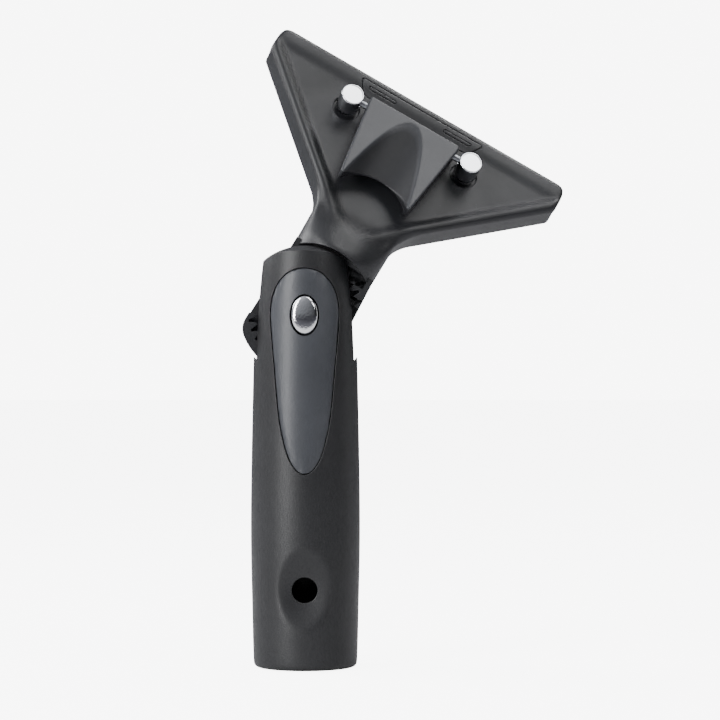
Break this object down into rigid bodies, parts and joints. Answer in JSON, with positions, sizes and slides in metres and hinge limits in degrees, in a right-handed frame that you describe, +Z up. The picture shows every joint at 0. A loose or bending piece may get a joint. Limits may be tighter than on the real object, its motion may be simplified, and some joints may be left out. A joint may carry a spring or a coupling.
{
  "type": "window squeegee handle",
  "caption": "Window squeegee handle: a pole-socket grip with a push-button swivel joint and a wide bent head that clamps a blade channel with a thumb lever and lock pins.",
  "frame": {"origin": "centre of the pole socket's mouth, at the handle's lower end", "axes": "+Z up the handle towards the head, -Y the side with the swivel button, +X to the right of someone who looks at the button; the head is swung 30 degrees towards +X at rest"},
  "size_m": [0.1091, 0.0538, 0.2159],
  "materials": {
    "charcoal_plastic": "satin, fine moulded grain",
    "graphite_plastic": "satin, fine moulded grain",
    "lever_plastic": "satin",
    "chrome": "polished",
    "steel": "satin",
    "acetal": "smooth"
  },
  "bodies": {
    "handle": {"handle_barrel": "charcoal_plastic", "front_inlay": "graphite_plastic", "pivot_bolt": "steel", "pivot_nut": "steel", "pivot_bushing": "steel", "swivel_washer": "acetal", "bolt_washer": "steel", "lock_spring": "steel"},
    "button": {"button_cap": "chrome", "swivel_lock": "steel"},
    "head": {"head": "charcoal_plastic", "lever_axle": "steel", "lever_spring": "steel", "spring_screw": "steel"},
    "lever": {"release_lever": "lever_plastic"},
    "pins": {"pin_cross_rod": "chrome", "lock_pin_left": "steel", "lock_pin_right": "steel", "post_cap_left": "chrome", "post_cap_right": "chrome"}
  },
  "joints": [
    {"name": "head_swivel", "type": "hinge", "parent": "handle", "child": "head", "pos_m": [0, 0, 0.1183], "axis": [0, 1, 0], "range_deg": [-120, 60]},
    {"name": "swivel_button_press", "type": "slide", "parent": "handle", "child": "button", "axis": [0, 1, 0], "range_m": [0, 0.0032], "stiffness_N_per_m": 800, "springref_m": -0.002, "deforming": ["lock_spring"]},
    {"name": "lever_press", "type": "hinge", "parent": "head", "child": "lever", "pos_m": [0.02792, 0.00857, 0.16666], "axis": [0.866, 0, -0.5], "range_deg": [0, 8.5], "stiffness_Nm_per_rad": 0.3, "springref_deg": -8.59, "deforming": ["lever_spring"]},
    {"name": "pin_lift", "type": "slide", "parent": "head", "child": "pins", "axis": [0.25, -0.866, 0.433], "range_m": [0, 0.00222]}
  ],
  "couplings": [
    {"joint": "lever_press", "follows": "pin_lift", "rad_per_m": 66.667}
  ]
}
